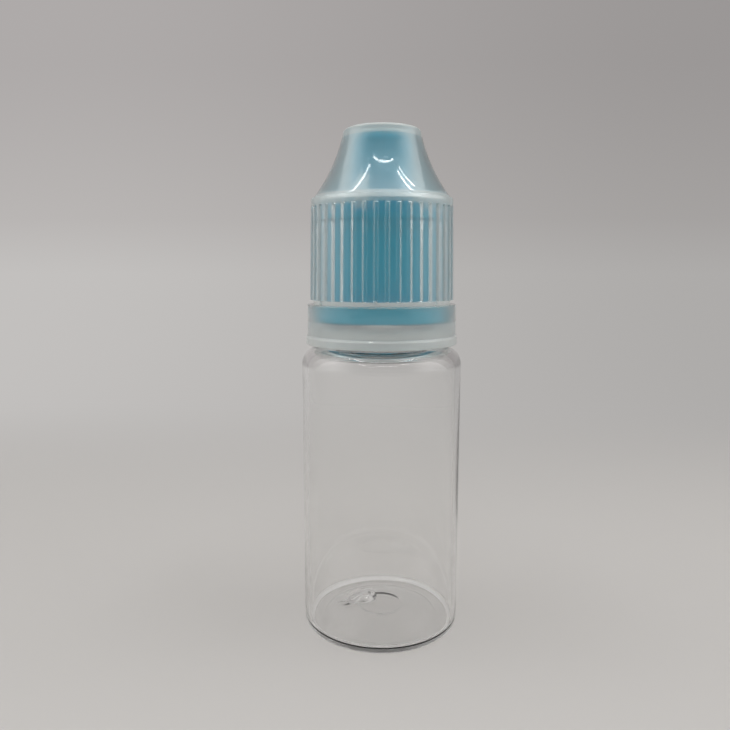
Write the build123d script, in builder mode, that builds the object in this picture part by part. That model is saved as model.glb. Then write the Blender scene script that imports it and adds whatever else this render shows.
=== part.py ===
from build123d import *
import os
from math import hypot, radians, tan

# Squeeze dropper bottle with a two-piece push-and-turn cap.
# Millimetres. The bottle stands on Z = 0, its axis is Z, and its front faces -Y.
# Radii run outward from the bore of the neck, and heights run upward from the shoulder,
# so each piece takes its place from the piece that it fits.

os.makedirs("parts", exist_ok=True)

# Bottle body
BODY_HEIGHT = 39.8
BODY_WALL = 0.8
BODY_STEP = 0.6
SHOULDER_RADIUS = 3.2
HEEL_RADIUS = 2.0
FOOT_WIDTH = 0.8
PUSH_UP = 1.2
PUSH_UP_RADIUS = 3.0
GATE_NUB_RADIUS = 1.9
GATE_NUB_HEIGHT = 0.8
GATE_NUB_X = -2.8
GATE_NUB_Y = 2.5

# Neck of the bottle
NECK_BORE = 4.6
NECK_WALL = 1.25
NECK_HEIGHT = 14.0
NECK_FOOT = 0.5
NECK_ROOT = 0.5
THROAT = 1.7
LIP_CHAMFER = 0.25
BEAD_EDGE = 0.35
BEAD_THICKNESS = 1.05

# Drip insert
PLUG_GAP = 0.02
PLUG_LENGTH = 5.5
PLUG_WALL = 0.85
PLUG_CHAMFER = 0.4
FLANGE_THICKNESS = 0.8
FLANGE_INSET = 0.25
NOZZLE_HEIGHT = 8.9
NOZZLE_BASE_RADIUS = 3.0
NOZZLE_TIP_RADIUS = 1.5
NOZZLE_TIP_EDGE = 0.35
NOZZLE_WALL = 0.8
ORIFICE_RADIUS = 0.35
ORIFICE_LENGTH = 1.4
MOUTH_RADIUS = 0.85
MOUTH_DEPTH = 0.4

# Inner cap
THREAD_ROOM = 0.8
SKIRT_WALL = 0.95
FOOT_WALL = 0.9
FOOT_SHELF = 0.8
FOOT_HEIGHT = 2.25
CROWN_THICKNESS = 1.35
CROWN_LIP = 0.7
CROWN_LIP_THICKNESS = 0.7
SEAL_WIDTH = 1.0
SEAL_HEIGHT = 1.3
TUBE_WALL = 1.0
TUBE_TOP_WALL = 1.1
TUBE_DRAFT = 3.4
TUBE_EDGE = 0.4
TIP_ROOM = 2.7
PIN_RADIUS = 0.8
PIN_TIP_RADIUS = 0.45
PIN_ENTRY = 0.15

# Ratchet between the two caps
LUG_COUNT = 5
LUG_FIRST_ANGLE = -112.0
TOOTH_WIDTH = 1.9
TOOTH_HEIGHT = 1.2
TOOTH_RAMP = 2.1
NOTCH_WIDTH = 1.6

# Outer cap
SHELL_WALL = 0.6
SHELL_DRAFT = 1.0
DOME_WALL = 1.0
DOME_RISE = 1.1
DOME_HOLLOW = 0.5
LEDGE = 0.25
LEDGE_EDGE = 0.15
TOP_WALL = 0.75
TOP_EDGE = 0.5
RIB_COUNT = 42
RIB_DEPTH = 0.45
RIB_EDGE = 0.14
RIB_GROOVE = 0.42
RIB_TOP_BAND = 1.2
RETAIN_GRIP = 0.25
RETAIN_BEAD = 0.9

# Tamper ring
RING_WALL = 0.75
RING_LIP = 0.22
RING_LIP_HEIGHT = 1.0
RING_LIP_BLEND = 0.35
RING_EDGE = 0.15
RING_BEAD_HEIGHT = 1.6
RING_BEAD_EDGE = 0.6
RING_GRIP = 0.4
BRIDGE_STEP = 6
BRIDGE_DEPTH = 0.27
BRIDGE_REACH = 0.35
BRIDGE_ROOT = 0.3

# Clearances
RUNNING_GAP = 0.25
NOZZLE_GAP = 0.4
TUBE_GAP = 0.4
FOOT_GAP = 0.33
BEAD_GAP = 0.93
BRIDGE_GAP = 0.08
RING_CLEARANCE = 0.4
BEAD_CLEARANCE = 0.25
FOOT_CLEARANCE = 0.3
SEAL_GAP = 0.05
LUG_GAP = 0.1
LUG_SIDE_GAP = 0.15
TEAR_GAP = 0.55
PRESS_TRAVEL = 0.45
STOP_GAP = 0.1

# How far a cutting shape runs past the surface that it cuts
OVERRUN = 0.5

# Heights that the pieces share, from the shoulder upward
ring_bottom = BODY_HEIGHT + RING_CLEARANCE
ring_bead_top = ring_bottom + RING_BEAD_HEIGHT
bead_bottom = ring_bead_top + BEAD_CLEARANCE
bead_top = bead_bottom + BEAD_THICKNESS
foot_bottom = bead_top + FOOT_CLEARANCE
foot_top = foot_bottom + FOOT_HEIGHT
ring_top = foot_top
shell_bottom = ring_top + TEAR_GAP
lip_top = BODY_HEIGHT + NECK_HEIGHT
flange_top = lip_top + FLANGE_THICKNESS
nozzle_top = flange_top + NOZZLE_HEIGHT
seal_bottom = flange_top + SEAL_GAP
bore_ceiling = seal_bottom + SEAL_HEIGHT
crown_top = bore_ceiling + CROWN_THICKNESS
crown_lip_bottom = crown_top - CROWN_LIP_THICKNESS
tooth_top = crown_top + TOOTH_HEIGHT
lug_bottom = tooth_top + LUG_GAP
tube_ceiling = nozzle_top + TIP_ROOM
tube_top = tube_ceiling + TUBE_TOP_WALL
shell_ceiling = tube_top + PRESS_TRAVEL + STOP_GAP
total_height = shell_ceiling + TOP_WALL
ledge_height = tooth_top + DOME_RISE

# Radii that the pieces share, from the bore of the neck outward
draft_slope = tan(radians(SHELL_DRAFT))
neck_radius = NECK_BORE + NECK_WALL
neck_foot_radius = neck_radius + NECK_FOOT
cap_bore = neck_radius + THREAD_ROOM
skirt_radius = cap_bore + SKIRT_WALL
crown_radius = skirt_radius + CROWN_LIP
tube_bore = NOZZLE_BASE_RADIUS + NOZZLE_GAP
tube_radius = tube_bore + TUBE_WALL
tube_narrowing = (tube_top - crown_top) * tan(radians(TUBE_DRAFT))
tube_top_radius = tube_radius - tube_narrowing
retain_radius = crown_radius - RETAIN_GRIP
shell_bore = crown_radius + RUNNING_GAP + (crown_top - shell_bottom) * draft_slope
rib_root = shell_bore + SHELL_WALL
rib_crest = rib_root + RIB_DEPTH
ring_bore = rib_root + BRIDGE_GAP
ring_radius = ring_bore + RING_WALL
ring_lip_radius = ring_radius + RING_LIP
foot_radius = ring_bore - FOOT_GAP
foot_bore = foot_radius - FOOT_WALL
bead_radius = ring_bore - BEAD_GAP
ring_bead_radius = bead_radius - RING_GRIP
body_radius = ring_lip_radius + BODY_STEP

# Turn from the front of the cap to the middle of the nearest groove
half_rib_angle = 180 / RIB_COUNT
FRONT_ANGLE = -90.0


def drafted(radius, height):
    """Radius at a height of a shell wall that has the given radius at the rim."""
    return radius - (height - shell_bottom) * draft_slope


# Lump of the moulding gate on the floor of the bottle
floor_height = PUSH_UP + BODY_WALL
foot_outer = body_radius - HEEL_RADIUS
foot_inner = foot_outer - FOOT_WIDTH
floor_slope = PUSH_UP / (foot_inner - PUSH_UP_RADIUS)
nub_distance = hypot(GATE_NUB_X, GATE_NUB_Y)
nub_floor = floor_height - max(nub_distance - PUSH_UP_RADIUS, 0) * floor_slope

with BuildPart() as gate_nub:
    with BuildSketch(Plane.XZ):
        with BuildLine():
            nub_top = TangentArc((0, GATE_NUB_HEIGHT), (GATE_NUB_RADIUS, 0), tangent=(1, 0))
            Polyline(nub_top @ 1, (0, -BODY_WALL / 2), nub_top @ 0)
        make_face()
    revolve(axis=Axis.Z)

# Bottle: one blow-moulded wall from the pushed-up base to the lip
side_top = BODY_HEIGHT - SHOULDER_RADIUS
shoulder_flat = body_radius - SHOULDER_RADIUS
inner_radius = body_radius - BODY_WALL
inner_shoulder = BODY_HEIGHT - BODY_WALL

with BuildPart() as bottle:
    with BuildSketch(Plane.XZ):
        with BuildLine():
            # Outside, from the middle of the base to the lip
            base = Polyline(
                (0, PUSH_UP),
                (PUSH_UP_RADIUS, PUSH_UP),
                (foot_inner, 0),
                (foot_outer, 0),
            )
            heel = TangentArc(base @ 1, (body_radius, HEEL_RADIUS), tangent=(1, 0))
            side = Line(heel @ 1, (body_radius, side_top))
            shoulder = TangentArc(side @ 1, (shoulder_flat, BODY_HEIGHT), tangent=(0, 1))
            neck = Polyline(
                shoulder @ 1,
                (neck_foot_radius + NECK_ROOT, BODY_HEIGHT),
                (neck_foot_radius, BODY_HEIGHT + NECK_ROOT),
                (neck_foot_radius, bead_bottom),
                (bead_radius, bead_bottom),
                (bead_radius, bead_bottom + BEAD_EDGE),
                (neck_radius, bead_top),
                (neck_radius, lip_top - LIP_CHAMFER),
                (neck_radius - LIP_CHAMFER, lip_top),
                (NECK_BORE, lip_top),
                (NECK_BORE, inner_shoulder + THROAT),
                (NECK_BORE + THROAT, inner_shoulder),
                (shoulder_flat, inner_shoulder),
            )
            # Inside, from the shoulder back to the middle of the floor
            inner_turn = TangentArc(neck @ 1, (inner_radius, side_top), tangent=(1, 0))
            inner_side = Line(inner_turn @ 1, (inner_radius, HEEL_RADIUS))
            inner_heel = TangentArc(inner_side @ 1, (foot_outer, BODY_WALL), tangent=(0, -1))
            Polyline(
                inner_heel @ 1,
                (foot_inner, BODY_WALL),
                (PUSH_UP_RADIUS, floor_height),
                (0, floor_height),
                base @ 0,
            )
        make_face()
    revolve(axis=Axis.Z)
    with Locations((GATE_NUB_X, GATE_NUB_Y, nub_floor)):
        add(gate_nub.part)
bottle.part.label = "bottle"
export_step(bottle.part, "parts/bottle.step")

# Drip insert: a hollow plug in the neck, a flange on the lip and a drip nozzle
plug_radius = NECK_BORE - PLUG_GAP
plug_bore = plug_radius - PLUG_WALL
plug_bottom = lip_top - PLUG_LENGTH
flange_radius = neck_radius - FLANGE_INSET
nozzle_bore = NOZZLE_BASE_RADIUS - NOZZLE_WALL
orifice_bottom = nozzle_top - ORIFICE_LENGTH

with BuildPart() as dropper_insert:
    with BuildSketch(Plane.XZ):
        with BuildLine():
            Polyline(
                (plug_bore, plug_bottom),
                (plug_radius - PLUG_CHAMFER, plug_bottom),
                (plug_radius, plug_bottom + PLUG_CHAMFER),
                (plug_radius, lip_top),
                (flange_radius, lip_top),
                (flange_radius, flange_top),
                (NOZZLE_BASE_RADIUS, flange_top),
                (NOZZLE_TIP_RADIUS, nozzle_top),
                (MOUTH_RADIUS, nozzle_top),
                (ORIFICE_RADIUS, nozzle_top - MOUTH_DEPTH),
                (ORIFICE_RADIUS, orifice_bottom),
                (nozzle_bore, lip_top),
                (plug_bore, lip_top - PLUG_WALL),
                (plug_bore, plug_bottom),
            )
        make_face()
    revolve(axis=Axis.Z)
    tip_edges = edges().filter_by(GeomType.CIRCLE).group_by(Axis.Z)[-1]
    chamfer(tip_edges.sort_by(SortBy.RADIUS)[-1], NOZZLE_TIP_EDGE)
dropper_insert.part.label = "dropper_insert"
export_step(dropper_insert.part, "parts/dropper_insert.step")

# Inner cap: stepped skirt, crown with ratchet teeth, sealing ring, nozzle tube and stopper pin
seal_outer = flange_radius - RUNNING_GAP
seal_inner = seal_outer - SEAL_WIDTH
tube_bore_top = tube_bore - (tube_ceiling - bore_ceiling) * tan(radians(TUBE_DRAFT))
pin_bottom = nozzle_top - PIN_ENTRY
foot_shelf_bottom = foot_top - FOOT_SHELF
tooth_inner = skirt_radius - TOOTH_WIDTH
pin_cone_top = pin_bottom + PIN_RADIUS

# Notch of the ratchet: an upright face that drives, and a ramp that slips
with BuildPart() as notch:
    with BuildSketch(Plane.YZ.offset(tooth_inner - OVERRUN)):
        with BuildLine():
            Polyline(
                (-NOTCH_WIDTH / 2, crown_top),
                (NOTCH_WIDTH / 2, crown_top),
                (NOTCH_WIDTH / 2 + TOOTH_RAMP, tooth_top),
                (NOTCH_WIDTH / 2 + TOOTH_RAMP, tooth_top + OVERRUN),
                (-NOTCH_WIDTH / 2, tooth_top + OVERRUN),
                (-NOTCH_WIDTH / 2, crown_top),
            )
        make_face()
    extrude(amount=TOOTH_WIDTH + 2 * OVERRUN)

with BuildPart() as inner_cap:
    with BuildSketch(Plane.XZ):
        with BuildLine():
            Polyline(
                (foot_bore, foot_bottom),
                (foot_radius, foot_bottom),
                (foot_radius, foot_top),
                (skirt_radius, foot_top),
                (skirt_radius, crown_lip_bottom),
                (crown_radius, crown_lip_bottom),
                (crown_radius, crown_top),
                (tube_radius, crown_top),
                (tube_top_radius, tube_top),
                (0, tube_top),
                (0, pin_bottom),
                (PIN_TIP_RADIUS, pin_bottom),
                (PIN_RADIUS, pin_cone_top),
                (PIN_RADIUS, tube_ceiling),
                (tube_bore_top, tube_ceiling),
                (tube_bore, bore_ceiling),
                (seal_inner, bore_ceiling),
                (seal_inner, seal_bottom),
                (seal_outer, seal_bottom),
                (seal_outer, bore_ceiling),
                (cap_bore, bore_ceiling),
                (cap_bore, foot_shelf_bottom),
                (foot_bore, foot_shelf_bottom),
                (foot_bore, foot_bottom),
            )
        make_face()
    revolve(axis=Axis.Z)
    chamfer(edges().filter_by(GeomType.CIRCLE).group_by(Axis.Z)[-1], TUBE_EDGE)
    # Ratchet ring on the crown
    with BuildSketch(Plane.XY.offset(crown_top)):
        Circle(skirt_radius)
        Circle(tooth_inner, mode=Mode.SUBTRACT)
    extrude(amount=TOOTH_HEIGHT)
    with PolarLocations(0, LUG_COUNT, start_angle=LUG_FIRST_ANGLE):
        add(notch.part, mode=Mode.SUBTRACT)
inner_cap.part.label = "inner_cap"
export_step(inner_cap.part, "parts/inner_cap.step")

# Outer cap: drafted ribbed wall, ledge and hollow-sided dome, with lugs and a retaining bead inside
crest_top = drafted(rib_crest, ledge_height - LEDGE_EDGE)
top_radius = tube_top_radius + TUBE_GAP + DOME_WALL
top_bore = top_radius - DOME_WALL
inner_corner = ledge_height - DOME_WALL / 2
bead_high = crown_lip_bottom - STOP_GAP
bead_low = bead_high - RETAIN_BEAD
groove_top = ledge_height - RIB_TOP_BAND
lug_radius = skirt_radius - TOOTH_WIDTH / 2
lug_length = TOOTH_WIDTH - 2 * LUG_SIDE_GAP
lug_width = NOTCH_WIDTH - 2 * LUG_SIDE_GAP

# Hollow of the outer cap, with the retaining bead and the lugs left standing in it
with BuildPart() as shell_hollow:
    with BuildSketch(Plane.XZ):
        with BuildLine():
            wall_line = Polyline(
                (drafted(shell_bore, shell_bottom - OVERRUN), shell_bottom - OVERRUN),
                (drafted(shell_bore, bead_low), bead_low),
                (retain_radius, bead_high),
                (drafted(shell_bore, bead_high), bead_high),
                (drafted(shell_bore, inner_corner), inner_corner),
            )
            dome_line = SagittaArc(wall_line @ 1, (top_bore, shell_ceiling), DOME_HOLLOW)
            Polyline(
                dome_line @ 1,
                (0, shell_ceiling),
                (0, shell_bottom - OVERRUN),
                wall_line @ 0,
            )
        make_face()
    revolve(axis=Axis.Z)
    with BuildSketch(Plane.XY.offset(lug_bottom)):
        with PolarLocations(lug_radius, LUG_COUNT, start_angle=LUG_FIRST_ANGLE):
            Rectangle(lug_length, lug_width)
    extrude(amount=shell_ceiling - lug_bottom, mode=Mode.SUBTRACT)

# Groove between two ribs, leaning with the draft of the wall, with broken rib edges
groove_start = shell_bottom - OVERRUN
groove_plane = Plane(
    origin=(drafted(rib_root, groove_start), 0, groove_start),
    x_dir=(1, 0, draft_slope),
    z_dir=(-draft_slope, 0, 1),
)

with BuildPart() as groove:
    with BuildSketch(groove_plane):
        with BuildLine():
            Polyline(
                (0, 0),
                (0, RIB_GROOVE / 2),
                (RIB_DEPTH - RIB_EDGE, RIB_GROOVE / 2),
                (RIB_DEPTH, RIB_GROOVE / 2 + RIB_EDGE),
                (RIB_DEPTH + OVERRUN, RIB_GROOVE / 2 + RIB_EDGE),
                (RIB_DEPTH + OVERRUN, 0),
                (0, 0),
            )
        make_face()
        mirror(about=Plane.XZ)
    extrude(amount=groove_top - groove_start)

with BuildPart() as outer_cap:
    with BuildSketch(Plane.XZ):
        with BuildLine():
            crest_line = Line((rib_crest, shell_bottom), (crest_top, ledge_height - LEDGE_EDGE))
            ledge_line = Polyline(
                crest_line @ 1,
                (crest_top - LEDGE_EDGE, ledge_height),
                (crest_top - LEDGE, ledge_height),
            )
            bell_line = SagittaArc(
                ledge_line @ 1, (top_radius, total_height - TOP_EDGE), DOME_HOLLOW
            )
            top_round = TangentArc(
                bell_line @ 1, (top_radius - TOP_EDGE, total_height), tangent=bell_line % 1
            )
            Polyline(top_round @ 1, (0, total_height), (0, shell_bottom), crest_line @ 0)
        make_face()
    revolve(axis=Axis.Z)
    with PolarLocations(0, RIB_COUNT, start_angle=FRONT_ANGLE - half_rib_angle):
        add(groove.part, mode=Mode.SUBTRACT)
    add(shell_hollow.part, mode=Mode.SUBTRACT)
outer_cap.part.label = "outer_cap"
export_step(outer_cap.part, "parts/outer_cap.step")

# Tamper ring: a lipped band that snaps under the bead of the neck, with bridges to the outer cap
lip_height = ring_bottom + RING_LIP_HEIGHT
bridge_radius = ring_bore + BRIDGE_DEPTH / 2
bridge_width = RIB_GROOVE - 2 * BRIDGE_GAP
bridge_foot = ring_top - BRIDGE_ROOT
bridge_count = RIB_COUNT // BRIDGE_STEP
bridge_pitch = BRIDGE_STEP * 360 / RIB_COUNT
bridge_span = bridge_pitch * bridge_count

with BuildPart() as tamper_ring:
    with BuildSketch(Plane.XZ):
        with BuildLine():
            Polyline(
                (ring_bore - RING_EDGE, ring_bottom),
                (ring_lip_radius - RING_EDGE, ring_bottom),
                (ring_lip_radius, ring_bottom + RING_EDGE),
                (ring_lip_radius, lip_height),
                (ring_radius, lip_height + RING_LIP_BLEND),
                (ring_radius, ring_top),
                (ring_bore, ring_top),
                (ring_bore, ring_bead_top),
                (ring_bead_radius, ring_bead_top),
                (ring_bead_radius, ring_bead_top - RING_BEAD_EDGE),
                (ring_bore - RING_EDGE, ring_bottom),
            )
        make_face()
    revolve(axis=Axis.Z)
    with BuildSketch(Plane.XY.offset(bridge_foot)):
        with PolarLocations(
            bridge_radius,
            bridge_count,
            start_angle=FRONT_ANGLE - half_rib_angle,
            angular_range=bridge_span,
        ):
            Rectangle(BRIDGE_DEPTH, bridge_width)
    extrude(amount=BRIDGE_ROOT + TEAR_GAP + BRIDGE_REACH)
tamper_ring.part.label = "tamper_ring"
export_step(tamper_ring.part, "parts/tamper_ring.step")

print("height", round(total_height, 3), "body radius", round(body_radius, 3))
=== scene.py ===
"""Looks of a clear dropper bottle with a two-piece push-and-turn cap.

The bottle stands on the floor, its axis is Z and its front faces -Y. Sizes of the object are in
millimetres and become metres when a mesh is made. The paper and the lamps are given in metres.
"""

import logging
import math
from dataclasses import dataclass, replace
from enum import Enum, IntEnum
from functools import cache
from typing import Callable, Iterable, Mapping, Optional, Sequence, Union

import bmesh
import bpy
import numpy as np
from mathutils import Euler, Matrix, Vector


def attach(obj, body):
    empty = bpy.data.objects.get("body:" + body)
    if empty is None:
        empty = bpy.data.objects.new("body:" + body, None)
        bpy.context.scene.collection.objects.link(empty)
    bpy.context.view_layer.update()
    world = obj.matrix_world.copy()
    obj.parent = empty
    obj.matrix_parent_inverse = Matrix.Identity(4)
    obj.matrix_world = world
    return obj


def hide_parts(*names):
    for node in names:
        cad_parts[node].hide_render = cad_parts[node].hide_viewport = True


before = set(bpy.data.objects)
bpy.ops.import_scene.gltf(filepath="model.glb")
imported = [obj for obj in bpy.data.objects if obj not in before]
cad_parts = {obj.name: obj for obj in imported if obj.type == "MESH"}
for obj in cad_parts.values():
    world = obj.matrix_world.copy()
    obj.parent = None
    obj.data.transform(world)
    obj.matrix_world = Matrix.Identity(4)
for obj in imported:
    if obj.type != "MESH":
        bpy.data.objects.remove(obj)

MM = 0.001
FRONT = math.radians(-90)
COAT_ROUGHNESS = 0.04
COAT_BEND = 1.49
MOTTLE = (0.35, 0.65)
UNIT = (0.0, 1.0)
SCUFF_DULLING = 0.5
SMOOTH = "SMOOTHSTEP"
BOX_FACES = ((3, 2, 1, 0), (4, 5, 6, 7), (0, 1, 5, 4), (1, 2, 6, 5), (2, 3, 7, 6), (3, 0, 4, 7))

Material = bpy.types.Material
Mesh = bpy.types.Mesh
Node = bpy.types.Node
Socket = bpy.types.NodeSocket
Point = tuple[float, float]
Colour = tuple[float, float, float]
Shift = Callable[[int, np.ndarray, float, float], np.ndarray]
Choice = Callable[[float, float, float], int]
Source = Union[Socket, float, tuple[float, ...]]
Inputs = Mapping[Union[str, int], Source]

log = logging.getLogger("dropper_bottle")


class Body(Enum):
    """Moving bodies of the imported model."""

    BOTTLE = "bottle"
    RING = "tamper_ring"
    INNER_CAP = "inner_cap"
    OUTER_CAP = "outer_cap"


class Slot(Enum):
    """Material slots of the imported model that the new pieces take."""

    CLEAR_PET = "clear_pet"
    BLUE_CAP = "blue_cap"
    SHELL = "natural_shell"
    RING = "natural_ring"


class ShellPart(IntEnum):
    """Parts of the outer shell that have their own finish, in the order of its materials."""

    WALL = 0
    BELL = 1
    LEDGE = 2
    GROOVE = 3
    TOP = 4


@dataclass(frozen=True)
class Corner:
    """A corner of a turned outline."""

    r: float  # Distance from the axis in mm
    z: float  # Height in mm
    turn: float = 0.0  # Radius of the rounding in mm, 0 for a plain corner


def rounded(corners: Sequence[Corner], closed: bool = False, step: float = 11.0) -> list[Point]:
    """Turns corners into a polyline whose corners are arcs.

    Args:
        corners: The corners in order.
        closed: Whether the last corner joins the first.
        step: Largest turn between two points of an arc, in degrees.

    Returns:
        The points of the outline.
    """
    points: list[Point] = []
    count = len(corners)
    for i, corner in enumerate(corners):
        here = Vector((corner.r, corner.z))
        if corner.turn <= 0 or (not closed and i in (0, count - 1)):
            points.append((here.x, here.y))
            continue
        before = Vector((corners[i - 1].r, corners[i - 1].z))
        after = Vector((corners[(i + 1) % count].r, corners[(i + 1) % count].z))
        into, out = (here - before).normalized(), (after - here).normalized()
        angle = math.acos(max(-1.0, min(1.0, into.dot(out))))
        reach = corner.turn * math.tan(angle / 2)
        reach = min(reach, (here - before).length * 0.499, (after - here).length * 0.499)
        turn = reach / max(math.tan(angle / 2), 1e-9)
        start = here - into * reach
        side = 1.0 if into.cross(out) > 0 else -1.0
        centre = start + Vector((-into.y, into.x)) * side * turn
        pieces = max(2, math.ceil(math.degrees(angle) / step))
        spoke = start - centre
        for k in range(pieces + 1):
            a = side * angle * k / pieces
            x = centre.x + spoke.x * math.cos(a) - spoke.y * math.sin(a)
            y = centre.y + spoke.x * math.sin(a) + spoke.y * math.cos(a)
            points.append((x, y))
    return points


def bowed(start: Point, end: Point, bow: float, pieces: int) -> list[Point]:
    """Gives an arc between two points, hollow to its right by the given bow.

    Args:
        start: First point.
        end: Last point.
        bow: Height of the arc over its chord, in mm.
        pieces: Number of straight pieces.

    Returns:
        The points of the arc with both ends.
    """
    a, b = Vector(start), Vector(end)
    chord = b - a
    half = chord.length / 2
    radius = (half * half + bow * bow) / (2 * bow)
    left = Vector((-chord.y, chord.x)).normalized()
    centre = (a + b) / 2 - left * (radius - bow)
    spread = math.asin(half / radius)
    base = math.atan2(left.y, left.x)
    turns = [base - spread * (1 - 2 * k / pieces) for k in range(pieces, -1, -1)]
    return [(centre.x + radius * math.cos(turn), centre.y + radius * math.sin(turn)) for turn in turns]


def divided(points: Sequence[Point], longest: float) -> list[Point]:
    """Splits the long runs of an outline.

    Args:
        points: Points of the outline.
        longest: Longest piece that stays, in mm.

    Returns:
        The outline with more points.
    """
    out = [points[0]]
    for a, b in zip(points, points[1:]):
        pieces = max(1, math.ceil(math.dist(a, b) / longest))
        out += [
            (a[0] + (b[0] - a[0]) * k / pieces, a[1] + (b[1] - a[1]) * k / pieces)
            for k in range(1, pieces + 1)
        ]
    return out


def smoothed(mesh: Mesh, sharp: float = 50.0) -> Mesh:
    """Shades a mesh smooth, but for edges sharper than an angle in degrees, and gives it back."""
    mesh.shade_smooth()
    mesh.set_sharp_from_angle(angle=math.radians(sharp))
    return mesh


def shaped(shape: bmesh.types.BMesh, mesh: Mesh) -> Mesh:
    """Writes a finished shape into a mesh, frees the shape and shades the mesh smooth."""
    shape.to_mesh(mesh)
    shape.free()
    return smoothed(mesh)


def bevelled(shape: bmesh.types.BMesh, name: str, width: float) -> Mesh:
    """Rounds every edge of a shape and makes a mesh of it.

    Args:
        shape: The shape in metres.
        name: Name of the mesh.
        width: Width of the rounding in mm.

    Returns:
        The new mesh.
    """
    edges = list(shape.edges)
    bmesh.ops.bevel(shape, geom=edges, offset=width * MM, segments=2, affect="EDGES", profile=0.7)
    return shaped(shape, bpy.data.meshes.new(name))


def turned_mesh(
    name: str,
    outline: Sequence[Point],
    angles: np.ndarray,
    closed: bool = False,
    shift: Optional[Shift] = None,
    lift: Optional[Shift] = None,
) -> Mesh:
    """Turns an outline round the axis into a smooth closed mesh.

    Args:
        name: Name of the mesh.
        outline: Points with the plastic on the left of the direction of travel.
        angles: Angles of the columns in radians.
        closed: Whether the outline is a loop that never meets the axis.
        shift: Gives how far each point of a row moves outward, in mm.
        lift: Gives how far each point of a row moves up, in mm.

    Returns:
        The mesh in metres.
    """
    columns = len(angles)
    cos, sin = np.cos(angles), np.sin(angles)
    verts: list[np.ndarray] = []
    rows: list[range] = []
    total = 0
    for i, (r, z) in enumerate(outline):
        if r < 1e-6:
            height = z + (float(lift(i, angles[:1], r, z)[0]) if lift else 0.0)
            verts.append(np.array([[0.0, 0.0, height]]))
        else:
            radius = np.full(columns, r) + (shift(i, angles, r, z) if shift else 0.0)
            height = np.full(columns, z) + (lift(i, angles, r, z) if lift else 0.0)
            verts.append(np.column_stack([radius * cos, radius * sin, height]))
        rows.append(range(total, total + len(verts[-1])))
        total += len(verts[-1])
    faces: list[tuple[int, ...]] = []
    for low, high in zip(rows, rows[1:] + (rows[:1] if closed else [])):
        for j in range(columns):
            k = (j + 1) % columns
            loop = (low[j % len(low)], low[k % len(low)], high[k % len(high)], high[j % len(high)])
            face = tuple(dict.fromkeys(loop))
            if len(face) > 2:
                faces.append(face)
    mesh = bpy.data.meshes.new(name)
    mesh.from_pydata((np.vstack(verts) * MM).tolist(), [], faces)
    mesh.update()
    return smoothed(mesh, 42.0)


def even_angles(count: int) -> np.ndarray:
    """Gives evenly spread angles in radians for a plain turned mesh."""
    return np.arange(count) * 2 * math.pi / count


def around(first: float, count: int) -> list[Matrix]:
    """Gives turns about the axis, spread evenly from the first in degrees."""
    return [Matrix.Rotation(math.radians(first + k * 360 / count), 4, "Z") for k in range(count)]


class Nodes:
    """A node tree with short ways to add nodes, each joined to its sources as it is made."""

    def __init__(self, tree: bpy.types.NodeTree) -> None:
        """Takes the tree to work on."""
        self.tree = tree

    def fill(self, node: Node, inputs: Inputs) -> None:
        """Sets inputs of a node, or joins them where the source is a socket.

        Args:
            node: The node.
            inputs: Sources of its inputs, by name or number.
        """
        for key, source in inputs.items():
            if isinstance(source, Socket):
                self.tree.links.new(source, node.inputs[key])
            else:
                node.inputs[key].default_value = source

    def node(self, kind: str, inputs: Optional[Inputs] = None, **settings: object) -> Node:
        """Adds a node.

        Args:
            kind: Type of the node.
            inputs: Sources of its inputs, by name or number.
            **settings: Properties of the node, set before its inputs.

        Returns:
            The new node.
        """
        made = self.tree.nodes.new(kind)
        for key, value in settings.items():
            setattr(made, key, value)
        self.fill(made, inputs or {})
        return made

    def math(self, operation: str, *terms: Source, **settings: object) -> Socket:
        """Adds a calculation and gives its result."""
        inputs = dict(enumerate(terms))
        return self.node("ShaderNodeMath", inputs, operation=operation, **settings).outputs[0]

    def mix(self, kind: str, share: Source, first: Source, last: Source) -> Socket:
        """Adds a mix of two numbers (FLOAT) or colours (RGBA) and gives its result."""
        inputs = {"Factor": share, "A": first, "B": last}
        return self.node("ShaderNodeMix", inputs, data_type=kind).outputs["Result"]

    def noise(self, place: Source, **inputs: Source) -> Socket:
        """Adds a noise texture in space and gives its value."""
        inputs["Vector"] = place
        return self.node("ShaderNodeTexNoise", inputs, noise_dimensions="3D").outputs["Fac"]

    def ranged(self, source: Source, ends: Point, values: Point, kind: str = "LINEAR") -> Socket:
        """Adds a run from one value to another.

        Args:
            source: What it follows.
            ends: Where the first value ends and where the last is reached.
            values: The first and the last value.
            kind: Interpolation between the two.

        Returns:
            The result.
        """
        inputs = {"Value": source, "From Min": ends[0], "From Max": ends[1]}
        inputs |= {"To Min": values[0], "To Max": values[1]}
        return self.node("ShaderNodeMapRange", inputs, interpolation_type=kind).outputs["Result"]

    def show(self, share: Source, first: Source, last: Source) -> None:
        """Shows a mix of two shaders on the surface."""
        both = self.node("ShaderNodeMixShader", {0: share, 1: first, 2: last})
        self.fill(self.tree.nodes["Material Output"], {"Surface": both.outputs["Shader"]})


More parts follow.
